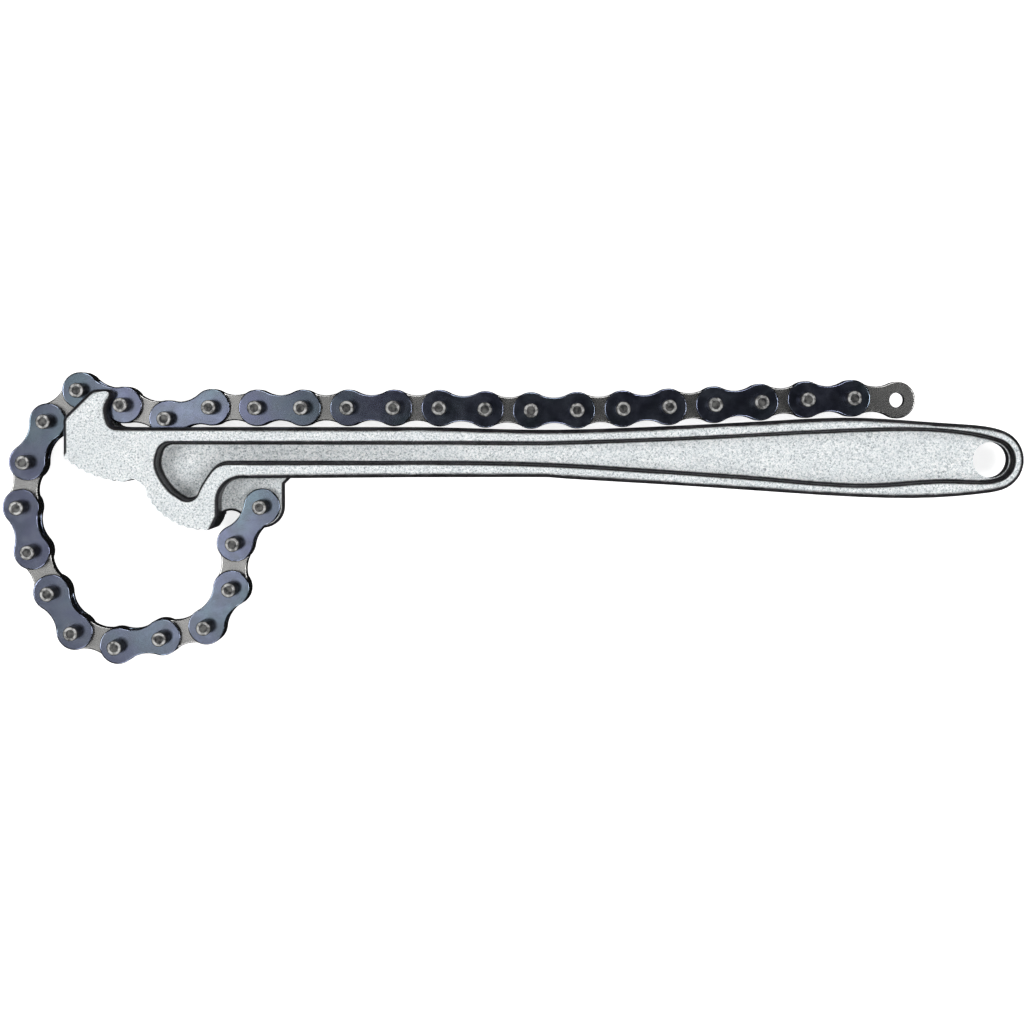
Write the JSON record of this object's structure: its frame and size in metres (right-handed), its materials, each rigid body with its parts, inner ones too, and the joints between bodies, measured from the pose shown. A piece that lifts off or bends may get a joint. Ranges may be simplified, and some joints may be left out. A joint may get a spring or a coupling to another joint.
{
  "type": "chain wrench",
  "caption": "Chain wrench: forged I-beam handle with a toothed, hooked jaw and a leaf chain anchored at a lug, hooked over the nose by its extended pins.",
  "frame": {"origin": "centre of the hang hole at the handle's mid-plane", "axes": "+X along the handle away from the jaw, +Y towards the side the chain's tail lies on, +Z along the chain pins"},
  "size_m": [0.3545, 0.1019, 0.0256],
  "materials": {
    "handle_steel": "satin bead-blasted plate",
    "outer_plate_steel": "blue-black heat-treated oxide",
    "inner_plate_steel": "oiled grey steel",
    "pin_steel": "ground steel with riveted ends"
  },
  "bodies": {
    "handle": {"handle": "handle_steel"},
    "outer_link_01": {"outer_link_01_plates": "outer_plate_steel", "outer_link_01_pins": "pin_steel"},
    "inner_link_01": {"inner_link_01_plates": "inner_plate_steel"},
    "outer_link_02": {"outer_link_02_plates": "outer_plate_steel", "outer_link_02_pins": "pin_steel"},
    "inner_link_02": {"inner_link_02_plates": "inner_plate_steel"},
    "outer_link_03": {"outer_link_03_plates": "outer_plate_steel", "outer_link_03_pins": "pin_steel"},
    "inner_link_03": {"inner_link_03_plates": "inner_plate_steel"},
    "outer_link_04": {"outer_link_04_plates": "outer_plate_steel", "outer_link_04_pins": "pin_steel"},
    "inner_link_04": {"inner_link_04_plates": "inner_plate_steel"},
    "outer_link_05": {"outer_link_05_plates": "outer_plate_steel", "outer_link_05_pins": "pin_steel"},
    "inner_link_05": {"inner_link_05_plates": "inner_plate_steel"},
    "outer_link_06": {"outer_link_06_plates": "outer_plate_steel", "outer_link_06_pins": "pin_steel"},
    "inner_link_06": {"inner_link_06_plates": "inner_plate_steel"},
    "outer_link_07": {"outer_link_07_plates": "outer_plate_steel", "outer_link_07_pins": "pin_steel"},
    "inner_link_07": {"inner_link_07_plates": "inner_plate_steel"},
    "outer_link_08": {"outer_link_08_plates": "outer_plate_steel", "outer_link_08_pins": "pin_steel"},
    "inner_link_08": {"inner_link_08_plates": "inner_plate_steel"},
    "outer_link_09": {"outer_link_09_plates": "outer_plate_steel", "outer_link_09_pins": "pin_steel"},
    "inner_link_09": {"inner_link_09_plates": "inner_plate_steel"},
    "outer_link_10": {"outer_link_10_plates": "outer_plate_steel", "outer_link_10_pins": "pin_steel"},
    "inner_link_10": {"inner_link_10_plates": "inner_plate_steel"},
    "outer_link_11": {"outer_link_11_plates": "outer_plate_steel", "outer_link_11_pins": "pin_steel"},
    "inner_link_11": {"inner_link_11_plates": "inner_plate_steel"},
    "outer_link_12": {"outer_link_12_plates": "outer_plate_steel", "outer_link_12_pins": "pin_steel"},
    "inner_link_12": {"inner_link_12_plates": "inner_plate_steel"},
    "outer_link_13": {"outer_link_13_plates": "outer_plate_steel", "outer_link_13_pins": "pin_steel"},
    "inner_link_13": {"inner_link_13_plates": "inner_plate_steel"},
    "outer_link_14": {"outer_link_14_plates": "outer_plate_steel", "outer_link_14_pins": "pin_steel"},
    "inner_link_14": {"inner_link_14_plates": "inner_plate_steel"},
    "outer_link_15": {"outer_link_15_plates": "outer_plate_steel", "outer_link_15_pins": "pin_steel"},
    "inner_link_15": {"inner_link_15_plates": "inner_plate_steel"}
  },
  "joints": [
    {"name": "pin_01_hinge", "type": "hinge", "parent": "handle", "child": "outer_link_01", "pos_m": [-0.2532, -0.0163, 0], "axis": [0, 0, 1], "range_deg": [-9.1, 0]},
    {"name": "pin_02_hinge", "type": "hinge", "parent": "outer_link_01", "child": "inner_link_01", "pos_m": [-0.26264, -0.02906, 0], "axis": [0, 0, 1], "range_deg": [-11.6, 0]},
    {"name": "pin_03_hinge", "type": "hinge", "parent": "inner_link_01", "child": "outer_link_02", "pos_m": [-0.26403, -0.04488, 0], "axis": [0, 0, 1], "range_deg": [-5.8, 0]},
    {"name": "pin_04_hinge", "type": "hinge", "parent": "outer_link_02", "child": "inner_link_02", "pos_m": [-0.27279, -0.05811, 0], "axis": [0, 0, 1], "range_deg": [0, 10.7]},
    {"name": "pin_05_hinge", "type": "hinge", "parent": "inner_link_02", "child": "outer_link_03", "pos_m": [-0.28819, -0.06195, 0], "axis": [0, 0, 1], "range_deg": [0, 7.3]},
    {"name": "pin_06_hinge", "type": "hinge", "parent": "outer_link_03", "child": "inner_link_03", "pos_m": [-0.30378, -0.06498, 0], "axis": [0, 0, 1], "range_deg": [-10.4, 0]},
    {"name": "pin_07_hinge", "type": "hinge", "parent": "inner_link_03", "child": "outer_link_04", "pos_m": [-0.31887, -0.06008, 0], "axis": [0, 0, 1], "range_deg": [-11.9, 0]},
    {"name": "pin_08_hinge", "type": "hinge", "parent": "outer_link_04", "child": "inner_link_04", "pos_m": [-0.32693, -0.0464, 0], "axis": [0, 0, 1], "range_deg": [0, 8.7]},
    {"name": "pin_09_hinge", "type": "hinge", "parent": "inner_link_04", "child": "outer_link_05", "pos_m": [-0.33364, -0.03201, 0], "axis": [0, 0, 1], "range_deg": [0, 8.3]},
    {"name": "pin_10_hinge", "type": "hinge", "parent": "outer_link_05", "child": "inner_link_05", "pos_m": [-0.33735, -0.01658, 0], "axis": [0, 0, 1], "range_deg": [0, 11.7]},
    {"name": "pin_11_hinge", "type": "hinge", "parent": "inner_link_05", "child": "outer_link_06", "pos_m": [-0.335, -0.00087, 0], "axis": [0, 0, 1], "range_deg": [0, 15.9]},
    {"name": "pin_12_hinge", "type": "hinge", "parent": "outer_link_06", "child": "inner_link_06", "pos_m": [-0.32779, 0.01327, 0], "axis": [0, 0, 1], "range_deg": [0, 13.3]},
    {"name": "pin_13_hinge", "type": "hinge", "parent": "inner_link_06", "child": "outer_link_07", "pos_m": [-0.31618, 0.0241, 0], "axis": [0, 0, 1], "range_deg": [0, 83.6]},
    {"name": "pin_14_hinge", "type": "hinge", "parent": "outer_link_07", "child": "inner_link_07", "pos_m": [-0.30113, 0.01906, 0], "axis": [0, 0, 1], "range_deg": [-25.8, 0]},
    {"name": "pin_15_hinge", "type": "hinge", "parent": "inner_link_07", "child": "outer_link_08", "pos_m": [-0.28599, 0.01429, 0], "axis": [0, 0, 1], "range_deg": [0, 33]},
    {"name": "pin_16_hinge", "type": "hinge", "parent": "outer_link_08", "child": "inner_link_08", "pos_m": [-0.27062, 0.01826, 0], "axis": [0, 0, -1], "range_deg": [-33, 0]},
    {"name": "pin_17_hinge", "type": "hinge", "parent": "inner_link_08", "child": "outer_link_09", "pos_m": [-0.25474, 0.01805, 0], "axis": [0, 0, 1], "range_deg": [0, 33]},
    {"name": "pin_18_hinge", "type": "hinge", "parent": "outer_link_09", "child": "inner_link_09", "pos_m": [-0.23887, 0.01805, 0], "axis": [0, 0, -1], "range_deg": [-33, 0]},
    {"name": "pin_19_hinge", "type": "hinge", "parent": "inner_link_09", "child": "outer_link_10", "pos_m": [-0.22299, 0.01805, 0], "axis": [0, 0, 1], "range_deg": [0, 33]},
    {"name": "pin_20_hinge", "type": "hinge", "parent": "outer_link_10", "child": "inner_link_10", "pos_m": [-0.20712, 0.01805, 0], "axis": [0, 0, -1], "range_deg": [-33, 0]},
    {"name": "pin_21_hinge", "type": "hinge", "parent": "inner_link_10", "child": "outer_link_11", "pos_m": [-0.19124, 0.01796, 0], "axis": [0, 0, 1], "range_deg": [0, 33]},
    {"name": "pin_22_hinge", "type": "hinge", "parent": "outer_link_11", "child": "inner_link_11", "pos_m": [-0.17538, 0.01752, 0], "axis": [0, 0, -1], "range_deg": [-33, 0]},
    {"name": "pin_23_hinge", "type": "hinge", "parent": "inner_link_11", "child": "outer_link_12", "pos_m": [-0.1595, 0.01715, 0], "axis": [0, 0, 1], "range_deg": [0, 33]},
    {"name": "pin_24_hinge", "type": "hinge", "parent": "outer_link_12", "child": "inner_link_12", "pos_m": [-0.14363, 0.01726, 0], "axis": [0, 0, -1], "range_deg": [-33, 0]},
    {"name": "pin_25_hinge", "type": "hinge", "parent": "inner_link_12", "child": "outer_link_13", "pos_m": [-0.12776, 0.01774, 0], "axis": [0, 0, 1], "range_deg": [0, 33]},
    {"name": "pin_26_hinge", "type": "hinge", "parent": "outer_link_13", "child": "inner_link_13", "pos_m": [-0.1119, 0.01841, 0], "axis": [0, 0, -1], "range_deg": [-33, 0]},
    {"name": "pin_27_hinge", "type": "hinge", "parent": "inner_link_13", "child": "outer_link_14", "pos_m": [-0.09604, 0.01916, 0], "axis": [0, 0, 1], "range_deg": [0, 33]},
    {"name": "pin_28_hinge", "type": "hinge", "parent": "outer_link_14", "child": "inner_link_14", "pos_m": [-0.08019, 0.02002, 0], "axis": [0, 0, -1], "range_deg": [-33, 0]},
    {"name": "pin_29_hinge", "type": "hinge", "parent": "inner_link_14", "child": "outer_link_15", "pos_m": [-0.06434, 0.02092, 0], "axis": [0, 0, 1], "range_deg": [0, 33]},
    {"name": "pin_30_hinge", "type": "hinge", "parent": "outer_link_15", "child": "inner_link_15", "pos_m": [-0.04847, 0.02137, 0], "axis": [0, 0, -1], "range_deg": [-33, 0]}
  ],
  "couplings": [
    {"joint": "pin_02_hinge", "follows": "pin_01_hinge", "ratio": 1.2747},
    {"joint": "pin_03_hinge", "follows": "pin_01_hinge", "ratio": 0.6374},
    {"joint": "pin_04_hinge", "follows": "pin_01_hinge", "ratio": -1.1758},
    {"joint": "pin_05_hinge", "follows": "pin_01_hinge", "ratio": -0.8022},
    {"joint": "pin_06_hinge", "follows": "pin_01_hinge", "ratio": 1.1429},
    {"joint": "pin_07_hinge", "follows": "pin_01_hinge", "ratio": 1.3077},
    {"joint": "pin_08_hinge", "follows": "pin_01_hinge", "ratio": -0.956},
    {"joint": "pin_09_hinge", "follows": "pin_01_hinge", "ratio": -0.9121},
    {"joint": "pin_10_hinge", "follows": "pin_01_hinge", "ratio": -1.2857},
    {"joint": "pin_11_hinge", "follows": "pin_01_hinge", "ratio": -1.7473},
    {"joint": "pin_12_hinge", "follows": "pin_01_hinge", "ratio": -1.4615},
    {"joint": "pin_13_hinge", "follows": "pin_01_hinge", "ratio": -9.1868},
    {"joint": "pin_14_hinge", "follows": "pin_01_hinge", "ratio": 2.8352}
  ]
}
